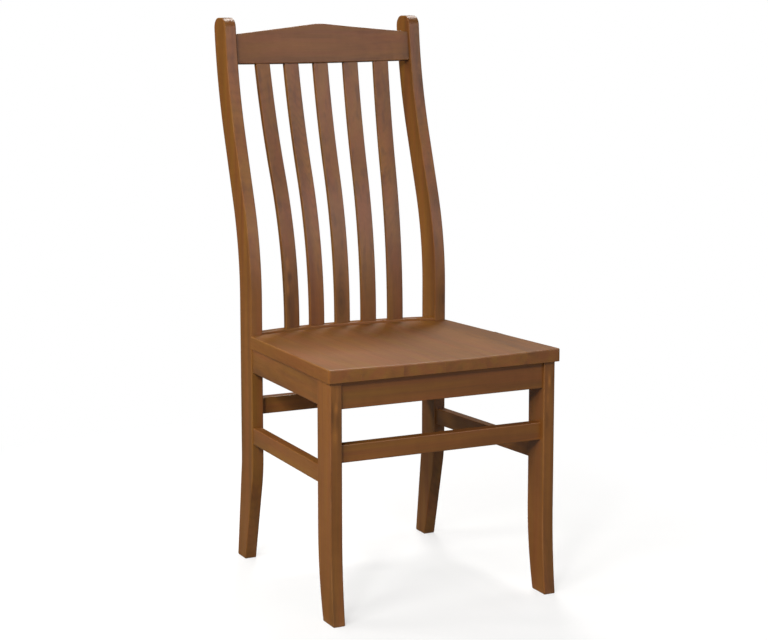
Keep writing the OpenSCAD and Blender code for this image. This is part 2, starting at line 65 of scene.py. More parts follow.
def loft(sections):  # extrudes one closed section from station to station
    bm = bmesh.new()
    corner = bm.verts.layers.int.new("corner")
    for n, point in enumerate(sections[0]):
        bm.verts.new(point)[corner] = n
    end = bm.faces.new(bm.verts)
    for n, section in enumerate(sections[1:]):
        made = bmesh.ops.extrude_face_region(bm, geom=[end])["geom"]
        for vert in only(bmesh.types.BMVert, made):
            vert.co = section[vert[corner]]
        if n:  # the first face stays as the near end
            bmesh.ops.delete(bm, geom=[end], context="FACES_ONLY")
        end = only(bmesh.types.BMFace, made)[0]
    bmesh.ops.recalc_face_normals(bm, faces=bm.faces)
    return bm


def easeArrises(bm, radius, wanted=lambda edge: True, steps=4, sharp=35):
    # The arris layer marks the rounded corners, which the wood's colour makes lighter: partly
    # sanding that leaves less stain there, partly a painted highlight along the edges
    wornAndSheen = bm.verts.layers.float.get("arris") or bm.verts.layers.float.new("arris")
    edges = [e for e in bm.edges if len(e.link_faces) == 2
             and math.degrees(e.calc_face_angle()) > sharp and wanted(e)]
    made = bmesh.ops.bevel(bm, geom=edges, offset=radius, offset_type="OFFSET", segments=steps,
                           profile=0.5, affect="EDGES", material=-1, clamp_overlap=False)
    rounded = set(made["faces"])
    for vert in made["verts"]:
        bent = sum(face in rounded for face in vert.link_faces)
        if bent > 1 and bent > len(vert.link_faces) - 2:
            vert[wornAndSheen] = 1


def markGrain(bm, along, pith, start):
    # The grain layer holds each point's place in its board, with z along the grain and the
    # tree's pith at x = y = 0
    layer = bm.verts.layers.float_vector.get("grain") or bm.verts.layers.float_vector.new("grain")
    order = {"x": (1, 2, 0), "y": (0, 2, 1), "z": (0, 1, 2)}[along]
    for vert in bm.verts:
        x, y, z = (vert.co[n] for n in order)
        vert[layer] = Vector((x - pith[0], y - pith[1], z + start)) * metre


def finishPiece(bm, name, nodes, material, tone=0.0):
    bmesh.ops.recalc_face_normals(bm, faces=bm.faces)
    bmesh.ops.translate(bm, vec=(0, -middleY, 0), verts=bm.verts)
    bmesh.ops.scale(bm, vec=(metre, metre, metre), verts=bm.verts)
    mesh = bpy.data.meshes.new(name)
    bm.to_mesh(mesh)
    bm.free()
    toneLayer = mesh.attributes.new("tone", "FLOAT", "POINT")
    toneLayer.data.foreach_set("value", [tone] * len(mesh.vertices))
    mesh.polygons.foreach_set("use_smooth", [True] * len(mesh.polygons))
    mesh.set_sharp_from_angle(angle=math.radians(sharpCorner))
    mesh.materials.append(material)
    piece = bpy.data.objects.new(name, mesh)
    bpy.context.scene.collection.objects.link(piece)
    normals = piece.modifiers.new("flatFaces", "WEIGHTED_NORMAL")
    normals.keep_sharp = True
    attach(piece, "root")
    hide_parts(*nodes)


# Wood
def linear(hexCode):  # a colour as it shows on a screen, given as the shaders take it
    parts = [int(hexCode[n:n + 2], 16) / 255 for n in (1, 3, 5)]
    return [*(((p + 0.055) / 1.055) ** 2.4 if p > 0.04045 else p / 12.92 for p in parts), 1]


class NodeBoard:  # adds shader nodes to a material or a world and links their sockets
    def __init__(self, owner):
        owner.use_nodes = True
        self.owner = owner
        self.tree = owner.node_tree
        self.shader = self.tree.nodes.get("Principled BSDF")

    def put(self, socket, value):
        if isinstance(value, bpy.types.NodeSocket):
            self.tree.links.new(value, socket)
        else:
            socket.default_value = value

    def add(self, kind, out=0, sockets=None, **settings):
        node = self.tree.nodes.new("ShaderNode" + kind)
        for key, value in settings.items():
            setattr(node, key, value)
        for key, value in (sockets or {}).items():
            self.put(node.inputs[key], value)
        return node.outputs[out]

    def maths(self, operation, a, b=0.0, c=0.0):
        return self.add("Math", operation=operation, sockets={0: a, 1: b, 2: c})

    def vector(self, operation, a, b=(0, 0, 0), out=0):
        return self.add("VectorMath", out, operation=operation, sockets={0: a, 1: b})

    def noise(self, place, stretch, detail=2.0, roughness=0.5, out=0):
        return self.add("TexNoise", out, sockets={
            "Vector": self.vector("MULTIPLY", place, stretch), "Scale": 1.0,
            "Detail": detail, "Roughness": roughness})

    def spread(self, value, low, high, newLow=0.0, newHigh=1.0):
        return self.add("MapRange", sockets={
            0: value, 1: low, 2: high, 3: newLow, 4: newHigh})

    def blend(self, share, a, b, kind="MIX"):
        node = self.tree.nodes.new("ShaderNodeMix")
        node.data_type, node.blend_type = "RGBA", kind
        for key, value in ((0, share), (6, a), (7, b)):
            self.put(node.inputs[key], value)
        return node.outputs[2]


def stainedMaple(name, look):
    board = NodeBoard(bpy.data.materials.new(name))
    place = board.add("Attribute", 1, attribute_name="grain")
    waver = board.vector("SUBTRACT", board.noise(place, look["waverSize"], 1.5, out=1),
                         (0.5, 0.5, 0.5))
    bent = board.vector("ADD", place, board.vector("MULTIPLY", waver, look["waver"]))
    radius = board.vector("LENGTH", board.vector("MULTIPLY", bent, (1, 1, 0)), out=1)
    # Spots lighten or darken the wood as its figure; the two at the crest rail's ends are painted
    # shade where it meets the posts
    figureAndShade = 0.0  # flecks and bands, given by place, size and how much lighter or darker they are
    for centre, size, lift in look["figureAndShade"]:
        away = board.vector("LENGTH", board.vector("MULTIPLY", board.vector(
            "SUBTRACT", place, centre), [1 / n for n in size]), out=1)
        fading = board.maths("EXPONENT", board.maths("MULTIPLY", board.maths("POWER", away, 2), -1))
        figureAndShade = board.maths("MULTIPLY_ADD", fading, lift, figureAndShade)
    radius = board.maths("ADD", radius, board.maths("MULTIPLY", figureAndShade, look["figureBend"]))

    # Growth rings: soft early wood and a thin darker line at the end of each year
    year = board.maths("FRACT", board.maths("MULTIPLY", radius, 1 / look["ringGap"]))
    lateWood = board.maths("POWER", board.maths("SINE", board.maths("MULTIPLY", year, math.pi)),
                           look["ringSharp"])
    patchy = board.spread(board.noise(place, look["patchSize"], 2), 0.35, 0.7)
    rings = board.maths("MULTIPLY", lateWood, board.maths("ADD", patchy, board.maths(
        "ABSOLUTE", board.maths("MULTIPLY", figureAndShade, look["figureRings"]))))

    fibres = board.noise(bent, look["fibreSize"], 5, 0.62)
    pores = board.spread(board.noise(bent, look["poreSize"], 2, 0.5), 0.62, 0.78)
    cloud = board.spread(board.noise(bent, look["cloudSize"], 3, 0.55), 0.3, 0.7)
    streaks = board.spread(board.noise(bent, look["streakSize"], 3, 0.5), 0.52, 0.72)
    curl = board.noise(bent, look["curlSize"], 1.5)

    colour = board.blend(cloud, linear(look["dark"]), linear(look["light"]))
    warmth = board.spread(board.noise(bent, look["warmthSize"], 2, 0.5), 0.33, 0.67)
    colour = board.blend(1.0, colour, board.blend(
        warmth, (*look["reddish"], 1), (*look["golden"], 1)), "MULTIPLY")
    colour = board.blend(board.maths("MULTIPLY", streaks, look["streaks"]), colour,
                         linear(look["streak"]))
    shade = board.maths("SUBTRACT", 1.0, board.maths("MULTIPLY", rings, look["rings"]))
    for part in (
            board.spread(fibres, 0.25, 0.75, 1 - look["fibres"], 1 + look["fibres"]),
            board.spread(curl, 0.3, 0.7, 1 - look["curl"], 1 + look["curl"]),
            board.spread(pores, 0, 1, 1, 1 - look["pores"]),
            board.maths("ADD", board.add("Attribute", 2, attribute_name="tone"), 1.0),
            board.maths("ADD", figureAndShade, 1.0)):
        shade = board.maths("MULTIPLY", shade, part)
    colour = board.blend(1.0, colour, shade, "MULTIPLY")

    # Arrises are painted lighter: partly sanding that takes stain off, partly a painted highlight
    # where the rounded edges catch the light
    rubbedAndSheen = board.maths("MULTIPLY", board.add("Attribute", 2, attribute_name="arris"),
                         board.spread(board.noise(place, look["rubAndSheenSize"], 2), 0.3, 0.7, 0.1, 1))
    colour = board.blend(board.maths("MULTIPLY", rubbedAndSheen, look["rubbedAndSheen"]), colour,
                         linear(look["wornAndSheen"]))
    board.put(board.shader.inputs["Base Color"], colour)

    board.put(board.shader.inputs["Roughness"], board.maths(
        "ADD", board.spread(fibres, 0.2, 0.8, look["roughness"] + look["roughnessVaries"],
                            look["roughness"] - look["roughnessVaries"]),
        board.maths("MULTIPLY", pores, look["poreRoughness"])))
    board.shader.inputs["Specular IOR Level"].default_value = 0.5
    board.shader.inputs["Coat Weight"].default_value = look["coat"]
    board.shader.inputs["Coat Roughness"].default_value = 0.4
    height = board.maths("SUBTRACT", board.maths("MULTIPLY", fibres, look["fibreHigh"]),
                         board.maths("ADD", board.maths("MULTIPLY", pores, look["poreDeep"]),
                                     board.maths("MULTIPLY", rings, look["ringDeep"])))
    board.put(board.shader.inputs["Normal"], board.add("Bump", sockets={
        "Strength": 0.35, "Distance": 0.00012, "Height": height}))
    return board.owner


# A pattern's size is how often it repeats in a metre: across, across and along the grain
maple = {"dark": "#7A4B20", "light": "#8B5826", "cloudSize": (22, 22, 3.0),
         "reddish": (1.0, 0.94, 1.08), "golden": (1.0, 1.12, 0.92), "warmthSize": (55, 55, 2.2),
         "streak": "#57371F", "streaks": 0.45, "streakSize": (60, 60, 1.3),
         # The arrises' lighter colour, how much of it and the size of its patches: sanded wear and
         # a painted highlight together
         "wornAndSheen": "#A9805A", "rubbedAndSheen": 0.2, "rubAndSheenSize": (60, 60, 14),
         "rings": 0.13, "ringGap": 0.0042, "ringSharp": 7, "patchSize": (7, 7, 1.6),
         "fibres": 0.09, "fibreSize": (520, 520, 7), "pores": 0.14, "poreSize": (1500, 1500, 38),
         "curl": 0.035, "curlSize": (26, 26, 75), "waver": (0.022, 0.022, 0),
         "waverSize": (5, 5, 1.1), "figureAndShade": (), "figureBend": 0.03, "figureRings": 3,
         "roughness": 0.42, "roughnessVaries": 0.05, "poreRoughness": 0.12, "coat": 0.05,
         "fibreHigh": 0.5, "poreDeep": 0.6, "ringDeep": 0.25}
legFigure = (
    ((-0.0545, 0.070, 0.725), (0.0035, 0.014, 0.020), 0.3),
    ((-0.0575, 0.070, 0.698), (0.0030, 0.014, 0.009), 0.7),
    ((-0.0595, 0.070, 0.647), (0.0040, 0.014, 0.012), 0.5),
    ((-0.0645, 0.070, 0.685), (0.0028, 0.014, 0.024), -0.4),
    ((-0.0550, 0.070, 0.672), (0.0030, 0.014, 0.012), -0.2),
    ((0.0635, 0.074, 1.687), (0.0028, 0.014, 0.010), 0.8),
    ((0.0690, 0.074, 1.688), (0.0030, 0.014, 0.020), -0.3),
    ((0.0605, 0.074, 1.655), (0.0030, 0.014, 0.014), 0.3),
    ((0.0597, 0.074, 1.615), (0.0030, 0.014, 0.014), -0.2),
    ((0.0635, 0.074, 1.360), (0.0040, 0.030, 0.050), -0.15))
postFigure = (
    ((-0.0035, 0.085, 2.610), (0.006, 0.020, 0.16), 0.22),
    ((-0.0035, 0.118, 2.600), (0.006, 0.008, 0.09), -0.25),
    ((-0.0035, 0.095, 2.966), (0.006, 0.008, 0.07), 0.25),
    ((-0.004, 0.147, 4.380), (0.008, 0.030, 0.030), -0.45),
    ((-0.006, 0.160, 4.470), (0.012, 0.030, 0.050), -0.34),
    ((-0.008, 0.080, 4.165), (0.010, 0.030, 0.035), -0.34),
    ((-0.004, 0.050, 3.968), (0.012, 0.030, 0.030), -0.31))
slatFigure = (
    ((-0.0188, 0.103, 6.576), (0.0035, 0.02, 0.010), 0.41),
    ((-0.0151, 0.100, 6.549), (0.0040, 0.02, 0.009), -0.37),
    ((-0.0200, 0.098, 6.527), (0.0030, 0.02, 0.008), 0.51),
    ((-0.0200, 0.097, 6.498), (0.0035, 0.02, 0.016), -0.37),
    ((0.022, 0.11, 7.83), (0.009, 0.10, 0.25), 0.20),
    ((0.006, 0.10, 7.77), (0.007, 0.10, 0.25), -0.17),
    ((-0.012, 0.112, 8.755), (0.010, 0.03, 0.035), -0.34),
    ((0.005, 0.115, 8.80), (0.005, 0.05, 0.12), 0.26),
    ((-0.022, 0.12, 11.25), (0.010, 0.10, 0.30), 0.10),
    ((-0.001, 0.12, 11.25), (0.006, 0.10, 0.30), -0.20))
railFigure = (
    ((0.063, -0.006, 13.77), (0.02, 0.008, 0.12), -0.15),)
# Crest rail spots: a darker band right of the middle, and the last two darken its ends against the
# posts, which is painted shade
crestFigureAndShade = (
    ((-0.095, 0.010, 5.490), (0.03, 0.06, 0.07), -0.12),
    ((-0.111, 0.010, 5.2165), (0.03, 0.08, 0.006), -0.3),
    ((-0.111, 0.010, 5.5835), (0.03, 0.08, 0.012), -0.35))
legWood = stainedMaple("legWood", {**maple, "figureAndShade": legFigure})
postWood = stainedMaple("postWood", {**maple, "figureAndShade": postFigure, "rubbedAndSheen": 0.12,
                                     "roughness": 0.47})
railWood = stainedMaple("railWood", {**maple, "figureAndShade": railFigure})
crestWood = stainedMaple("crestWood", {**maple, "figureAndShade": crestFigureAndShade, "roughness": 0.48,
                                       "coat": 0})
slatWood = stainedMaple("slatWood", {**maple, "figureAndShade": slatFigure, "streaks": 0.6,
                                     "streakSize": (90, 90, 1.6)})
# The seat's arrises are painted a little lighter than the rest: a painted highlight along its front
# and side edges, with the sanded wear
seatWood = stainedMaple("seatWood", {**maple, "rings": 0.08, "streaks": 0.3, "rubbedAndSheen": 0.25,
                                     "roughness": 0.5})
print("woods mixed")

# Sizes of the front legs, the back posts and the seat, whose places hang on one another.
# Each leg's and post's board has its side, name, pith and start along the grain
legs = {"frontWidth": 447, "thick": 23, "deep": 55, "bendZ": 165, "flare": 11, "footDeep": 45,
        "ease": 2.2, "easeBelow": 400,
        "boards": ((-1, "Left", (46, -70), 310), (1, "Right", (-52, -74), 1290))}
posts = {"rearWidth": 414, "frameDeep": 451, "thick": 23.5, "deep": 56, "bendZ": 210,
         "bendRadius": 250, "flare": 25, "footDeep": 38, "leanZ": 512, "leanRadius": 562,
         "lean": 19, "leanStraight": 130, "uprightRadius": 874, "topZ": 1040, "topRadius": 20,
         "ease": 2.2, "tone": -0.09, "core": 12,
         "boards": ((-1, "Left", (-8, 330), 2310), (1, "Right", (10, 345), 3480))}
seat = {"height": 457, "thick": 24, "drop": 10, "frontOver": 8, "sideOver": 6, "rearOver": 1.5,
        "boardWidth": 82, "jointX": -4, "fit": 0.1, "scoopDeep": 2.5, "scoopWide": 400,
        "ease": 2.5, "underEase": 0.8, "cornerRadius": 4, "cornerSteps": 5, "joint": 0.2,
        "column": 12, "row": 48, "firstRow": 20, "rowsEnd": 400,
        "tones": (0.03, 0.03, -0.03, -0.08, -0.06, -0.12), "piths": (18, -22, 9, -14, 25, -6),
        "pithDeep": 360, "pithStep": -12, "start": 22000, "startStep": 1310}
middleY = -legs["flare"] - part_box("left_front_leg")[0].y / metre
frontInner = legs["frontWidth"] / 2 - legs["thick"]
rearInner = posts["rearWidth"] / 2 - posts["thick"]
postY = posts["frameDeep"] - posts["deep"]
seatSlope = seat["drop"] / (postY + seat["frontOver"])


def seatTop(y):
    return seat["height"] - seatSlope * (y + seat["frontOver"])


def seatUnder(y):
    return seatTop(y) - seat["thick"]


def slab(frontLine, rearLine, x0, x1):  # a member sawn to a side outline
    return loft([[(x0, *f), (x1, *f), (x1, *r), (x0, *r)] for f, r in zip(frontLine, rearLine)])


# Front legs
def footArc(bendZ, reach):  # one arc from the upright at bendZ out to reach on the floor
    radius = (bendZ ** 2 + reach ** 2) / (2 * reach)
    turn = math.degrees(math.asin(bendZ / radius))
    return [(y + radius, z) for y, z in arc((0, bendZ), radius, 180 + turn, 180)]


legFront = [(-y, z) for y, z in footArc(legs["bendZ"], legs["flare"])]
legRear = [(legs["deep"] - y, z) for y, z in footArc(
    legs["bendZ"], legs["deep"] + legs["flare"] - legs["footDeep"])]
legFront += [(0, seatUnder(0))]
legRear += [(legs["deep"], seatUnder(legs["deep"]))]
for side, word, pith, start in legs["boards"]:
    bm = slab(legFront, legRear, side * frontInner, side * (frontInner + legs["thick"]))
    easeArrises(bm, legs["ease"], lambda e: min(v.co.z for v in e.verts) < legs["easeBelow"])
    markGrain(bm, "z", (side * frontInner + pith[0], pith[1]), start)
    finishPiece(bm, "frontLeg" + word, [word.lower() + "_front_leg"], legWood)
print("front legs shaped")

# Back posts: a lean to the rear, a straight part and an arc back to upright
leanEndY = postY + posts["leanRadius"] * (1 - math.cos(math.radians(posts["lean"]))) \
    + posts["leanStraight"] * math.sin(math.radians(posts["lean"]))
leanEndZ = posts["leanZ"] + posts["leanRadius"] * math.sin(math.radians(posts["lean"])) \
    + posts["leanStraight"] * math.cos(math.radians(posts["lean"]))
uprightY = leanEndY - posts["uprightRadius"] * math.cos(math.radians(posts["lean"]))
uprightZ = leanEndZ + posts["uprightRadius"] * math.sin(math.radians(posts["lean"]))


def straightFoot(bendZ, reach, radius):  # a straight foot with an arc into the upright
    turn = math.degrees(math.asin(radius / math.hypot(radius - reach, bendZ))
                        - math.atan((radius - reach) / bendZ))
    return [(reach, 0)] + [(y + radius, z) for y, z in arc((0, bendZ), radius, 180 + turn, 180)]


def postFace(side, reach):  # side 1 is the front face and -1 the rear, as its own outline
    topRound, topZ = posts["topRadius"], posts["topZ"] - posts["topRadius"]
    bigger = posts["uprightRadius"] + side * topRound
    turn = math.degrees(math.asin((uprightZ - topZ) / bigger))
    roundY = uprightY + bigger * math.cos(math.radians(turn))
    face = [(y + postY, z) for y, z in
            straightFoot(posts["bendZ"], reach, posts["bendRadius"])]
    face += arc((postY + posts["leanRadius"], posts["leanZ"]), posts["leanRadius"],
                180, 180 - posts["lean"])
    face += arc((uprightY, uprightZ), posts["uprightRadius"], -posts["lean"], -turn)
    start, end = (180 - turn, 90) if side > 0 else (-turn, 90)
    return face + arc((roundY, topZ), topRound, start, end)[1:]


postFront = postFace(1, posts["flare"] + posts["deep"] - posts["footDeep"])
postRear = [(y + posts["deep"], z) for y, z in postFace(-1, posts["flare"])]
for side, word, pith, start in posts["boards"]:
    bm = slab(postFront, postRear, side * rearInner, side * (rearInner + posts["thick"]))
    easeArrises(bm, posts["ease"])
    markGrain(bm, "z", (side * (rearInner + posts["core"]) + pith[0], pith[1]), start)
    finishPiece(bm, "backPost" + word, [word.lower() + "_back_post"], postWood,
                posts["tone"])
print("back posts shaped")

# Lower back rail
rail = {"radius": 690, "high": 72, "thick": 20, "proud": 5, "set": 4, "ease": 1.6,
        "stations": 32, "into": 0.4, "pith": (70, -20), "start": 4200}
railAxisY = postY + rail["set"] - math.sqrt(rail["radius"] ** 2 - rearInner ** 2)
railY = railAxisY + rail["radius"]
railTop = seatTop(railY) + rail["proud"]


def bow(radius, x, axisY):
    return axisY + math.sqrt(radius ** 2 - x ** 2)


def across(halfWidth, stations):
    return [halfWidth * (2 * n / stations - 1) for n in range(stations + 1)]


def bowedRail(radius, thick, axisY, places, low, top):
    sections = []
    for x in places:
        front, rear = bow(radius, x, axisY), bow(radius + thick, x, axisY)
        sections.append([(x, front, low), (x, rear, low), (x, rear, top(x)), (x, front, top(x))])
    return loft(sections)


def betweenPosts(edge):  # leaves the ends in the posts square
    return abs(edge.verts[0].co.x + edge.verts[1].co.x) < 2 * rearInner


bm = bowedRail(rail["radius"], rail["thick"], railAxisY,
               across(rearInner + rail["into"], rail["stations"]), railTop - rail["high"],
               lambda x: railTop)
easeArrises(bm, rail["ease"], betweenPosts)
markGrain(bm, "x", (railY + rail["pith"][0], railTop + rail["pith"][1]), rail["start"])
finishPiece(bm, "lowerRail", ["back_rail"], railWood)
print("lower back rail shaped")

# Crest rail: shaped upright, then leant back and set between the posts
crest = {"radius": 1060, "thick": 20, "endHigh": 56.5, "midHigh": 76, "peakRadius": 150,
         "lean": 8, "belowTop": 88.5, "set": 6, "ease": 1.8, "stations": 48, "peakStations": 10,
         "leastGap": 2, "into": 0.4, "pith": (95, 18), "start": 5400, "tone": -0.17}


def postFrontAt(z):
    return uprightY + math.sqrt(posts["uprightRadius"] ** 2 - (uprightZ - z) ** 2)


crestZ = posts["topZ"] - crest["belowTop"]
crestY = postFrontAt(crestZ) + crest["set"] + crest["radius"] \
    - math.sqrt(crest["radius"] ** 2 - rearInner ** 2)
rise = crest["midHigh"] - crest["endHigh"]
crestSlope = math.asin(crest["peakRadius"] / math.hypot(crest["peakRadius"] - rise, rearInner)) \
    - math.atan((crest["peakRadius"] - rise) / rearInner)
peakHalf = crest["peakRadius"] * math.sin(crestSlope)


def crestHeight(x):
    x = abs(x)
    if x < peakHalf:
        return crest["midHigh"] - crest["peakRadius"] + math.sqrt(crest["peakRadius"] ** 2 - x * x)
    return crest["endHigh"] + (rearInner - x) * math.tan(crestSlope)


def crestLeans(bm, undo=False):
    turn = Matrix.Rotation(math.radians(-crest["lean"]), 4, "X")
    move = Matrix.Translation((0, crestY, crestZ)) @ turn
    bmesh.ops.transform(bm, matrix=move.inverted() if undo else move, verts=bm.verts)


fine = across(peakHalf, crest["peakStations"])
coarse = [x for x in across(rearInner + crest["into"], crest["stations"])
          if abs(x) > peakHalf + crest["leastGap"]]
bm = bowedRail(crest["radius"], crest["thick"], -crest["radius"], sorted(fine + coarse), 0,
               crestHeight)
easeArrises(bm, crest["ease"], betweenPosts)
markGrain(bm, "x", crest["pith"], crest["start"])
crestLeans(bm)
finishPiece(bm, "crestRail", ["crest_rail"], crestWood, crest["tone"])
print("crest rail shaped")

# Slats: two arcs that meet in an S, from the lower rail into the crest rail
slats = {"wide": 31, "thick": 9, "pitch": 55, "cover": 5, "lowRadius": 932, "highRadius": 1687,
         "ease": 1.6, "into": 1.5,
         "piths": ((12, -96), (-15, -88), (8, -110), (-10, -92), (14, -104)),
         "start": 6000, "startStep": 1130, "tones": (-0.12, -0.12, -0.19, -0.19, -0.22)}
slatY = railY + (rail["thick"] - slats["thick"]) / 2
slatRise = crestZ - railTop
slatReach = crestY + slats["cover"] - slatY
lowR, highR = slats["lowRadius"], slats["highRadius"]
span = math.hypot(lowR - slatReach, slatRise)
slatLean = math.atan2(slatRise, lowR - slatReach) - math.acos(
    (span ** 2 + (lowR + highR) ** 2 - highR ** 2) / (2 * span * (lowR + highR)))
highY = lowR - (lowR + highR) * math.cos(slatLean)
highZ = railTop + (lowR + highR) * math.sin(slatLean)
slatEnd = math.asin((highZ - crestZ - crest["midHigh"]) / highR)
middleSlat = len(slats["tones"]) // 2


def slatFace(depth):  # from just inside the lower rail to well inside the crest rail
    lean, end = math.degrees(slatLean), math.degrees(slatEnd)
    return [(depth, railTop - slats["into"])] \
        + arc((lowR, railTop), lowR - depth, 180, 180 - lean) \
        + arc((highY, highZ), highR + depth, -lean, -end)[1:]


def lengthways(edge):
    return abs(edge.verts[0].co.z - edge.verts[1].co.z) > apart


for n, tone in enumerate(slats["tones"]):
    bm = slab(slatFace(0), slatFace(slats["thick"]), -slats["wide"] / 2, slats["wide"] / 2)
    easeArrises(bm, slats["ease"], lengthways)
    markGrain(bm, "z", slats["piths"][n], slats["start"] + slats["startStep"] * n)
    angle = (middleSlat - n) * math.asin(slats["pitch"] / (slatY - railAxisY))
    around = Matrix.Translation((0, railAxisY, 0)) @ Matrix.Rotation(angle, 4, "Z") \
        @ Matrix.Translation((0, slatY - railAxisY, 0))
    bmesh.ops.transform(bm, matrix=around, verts=bm.verts)
    crestLeans(bm, undo=True)  # where the crest rail's underside is level
    cut = bmesh.ops.bisect_plane(bm, geom=[*bm.verts, *bm.edges, *bm.faces], clear_outer=True,
                                 plane_co=(0, 0, slats["into"]), plane_no=(0, 0, 1))["geom_cut"]
    bmesh.ops.holes_fill(bm, edges=only(bmesh.types.BMEdge, cut))
    crestLeans(bm)
    finishPiece(bm, f"slat{n + 1}", [f"slat_{n + 1}"], slatWood, tone)
print("slats shaped")

# Aprons and stretchers
rails = {"apronHigh": 49, "apronThick": 20, "apronSet": 5, "sideHigh": 47, "sideThick": 19,
         "sideSet": 2, "stretcherHigh": 32, "stretcherThick": 20, "frontZ": 287, "frontSet": 11,
         "rearZ": 289, "rearSet": 23, "sideStretcherThick": 18, "sideStretcherZ": 245.5,
         "sideStretcherDrop": 8.5, "ease": 1.6, "into": 0.4,
         "apronPith": (80, 412), "apronStart": 12400, "apronTone": -0.1,
         "frontPith": (-52, 300), "frontStart": 13700, "rearPith": (110, 310), "rearStart": 15100,
         "sideApronPith": (290, 402), "sideStretcherPith": (300, 262),
         "sides": ((-1, "Left", 16300), (1, "Right", 19100)), "startStep": 900}


def notEnds(axis, low, high):  # leaves the edges that meet a leg or post square
    return lambda e: not all(v.co[axis] < low or v.co[axis] > high for v in e.verts) \
        or abs(e.verts[0].co[axis] - e.verts[1].co[axis]) > apart


def crossMember(name, node, reach, section, pith, start, tone=0.0):
    reach += rails["into"]
    bm = loft([[(x, *corner) for corner in section] for x in (-reach, reach)])
    easeArrises(bm, rails["ease"], notEnds(0, -reach + apart, reach - apart))
    markGrain(bm, "x", pith, start)
    finishPiece(bm, name, [node], railWood, tone)


def stretcherSection(y, low):
    rear, top = y + rails["stretcherThick"], low + rails["stretcherHigh"]
    return [(y, low), (rear, low), (rear, top), (y, top)]


def sideMember(name, node, side, thick, low, high, pith, start):
    frontX = legs["frontWidth"] / 2 - rails["sideSet"]
    rearX = posts["rearWidth"] / 2 - rails["sideSet"]
    taper = (frontX - rearX) / (postY - legs["deep"])
    sections = []
    for y in (legs["deep"] - rails["into"], postY + rails["into"]):
        outer = frontX - taper * (y - legs["deep"])
        sections.append([(side * outer, y, low(y)), (side * (outer - thick), y, low(y)),
                         (side * (outer - thick), y, high(y)), (side * outer, y, high(y))])
    bm = loft(sections)
    easeArrises(bm, rails["ease"], notEnds(1, legs["deep"] + apart, postY - apart))
    markGrain(bm, "y", (side * pith[0], pith[1]), start)
    finishPiece(bm, name, [node], railWood)


def apronLow(y):
    return seatUnder(y) - rails["sideHigh"]


def stretcherLow(y):
    return rails["sideStretcherZ"] \
        - rails["sideStretcherDrop"] * (y - legs["deep"]) / (postY - legs["deep"])


def stretcherTop(y):
    return stretcherLow(y) + rails["stretcherHigh"]


y0, y1 = rails["apronSet"], rails["apronSet"] + rails["apronThick"]
low = seatUnder(y0) - rails["apronHigh"]
crossMember("frontApron", "front_apron", frontInner,
            [(y0, low), (y1, low), (y1, seatUnder(y1)), (y0, seatUnder(y0))],
            rails["apronPith"], rails["apronStart"], rails["apronTone"])
crossMember("frontStretcher", "front_stretcher", frontInner,
            stretcherSection(rails["frontSet"], rails["frontZ"]),
            rails["frontPith"], rails["frontStart"])
crossMember("rearStretcher", "rear_stretcher", rearInner,
            stretcherSection(postY + rails["rearSet"], rails["rearZ"]),
            (postY + rails["rearPith"][0], rails["rearPith"][1]), rails["rearStart"])
for side, word, start in rails["sides"]:
    sideMember("sideApron" + word, word.lower() + "_side_apron", side, rails["sideThick"],
               apronLow, seatUnder, rails["sideApronPith"], start)
    sideMember("sideStretcher" + word, word.lower() + "_side_stretcher", side,
               rails["sideStretcherThick"], stretcherLow, stretcherTop,
               rails["sideStretcherPith"], start + rails["startStep"])
print("aprons and stretchers shaped")

# Seat boards
inner = rearInner - seat["fit"]
halfFront = legs["frontWidth"] / 2 + seat["sideOver"]
halfRear = posts["rearWidth"] / 2 + seat["rearOver"]
scoopRadius = ((seat["scoopWide"] / 2) ** 2 + seat["scoopDeep"] ** 2) / (2 * seat["scoopDeep"])
scoopRun = posts["frameDeep"] + posts["deep"]
glueLines = [seat["jointX"] + seat["boardWidth"] * n for n in (-2, -1, 0, 1, 2)]
boardEdges = [-halfFront, *glueLines, halfFront]


def seatSurface(x, y):  # the hollow fades to the rear
    hollow = seat["scoopDeep"] * (1 - (y + seat["frontOver"]) / scoopRun) \
        - scoopRadius + math.sqrt(scoopRadius ** 2 - x * x)
    return seatTop(y) - max(hollow, 0)


def railFront(x):
    return bow(rail["radius"] - seat["fit"], x, railAxisY)


def outerX(y):
    return halfFront - (halfFront - halfRear) * (y + seat["frontOver"]) \
        / (postY + seat["frontOver"])


def seatBlank(left, right):  # a flat board sawn to its plan, the outer ones around the posts
    plan = [(left, -seat["frontOver"]), (right, -seat["frontOver"])]
    for x in (right, left):
        notch = [(outerX(postY), postY), (inner, postY), (inner, railFront(inner))]
        if x == halfFront:
            plan += notch
        elif x == -halfFront:
            plan += [(-a, b) for a, b in reversed(notch)]
        else:
            plan += [(x, railFront(x))]
    bm = bmesh.new()
    bm.faces.new([bm.verts.new((x, y, 0)) for x, y in plan])
    corners = [v for v in bm.verts if abs(abs(v.co.x) - halfFront) < hair]
    if corners:
        bmesh.ops.bevel(bm, geom=corners, offset=seat["cornerRadius"], offset_type="OFFSET",
                        segments=seat["cornerSteps"], profile=0.5, affect="VERTICES",
                        material=-1)
    made = bmesh.ops.extrude_face_region(bm, geom=bm.faces[:], use_keep_orig=True)["geom"]
    bmesh.ops.translate(bm, vec=(0, 0, -seat["thick"]), verts=only(bmesh.types.BMVert, made))
    return bm


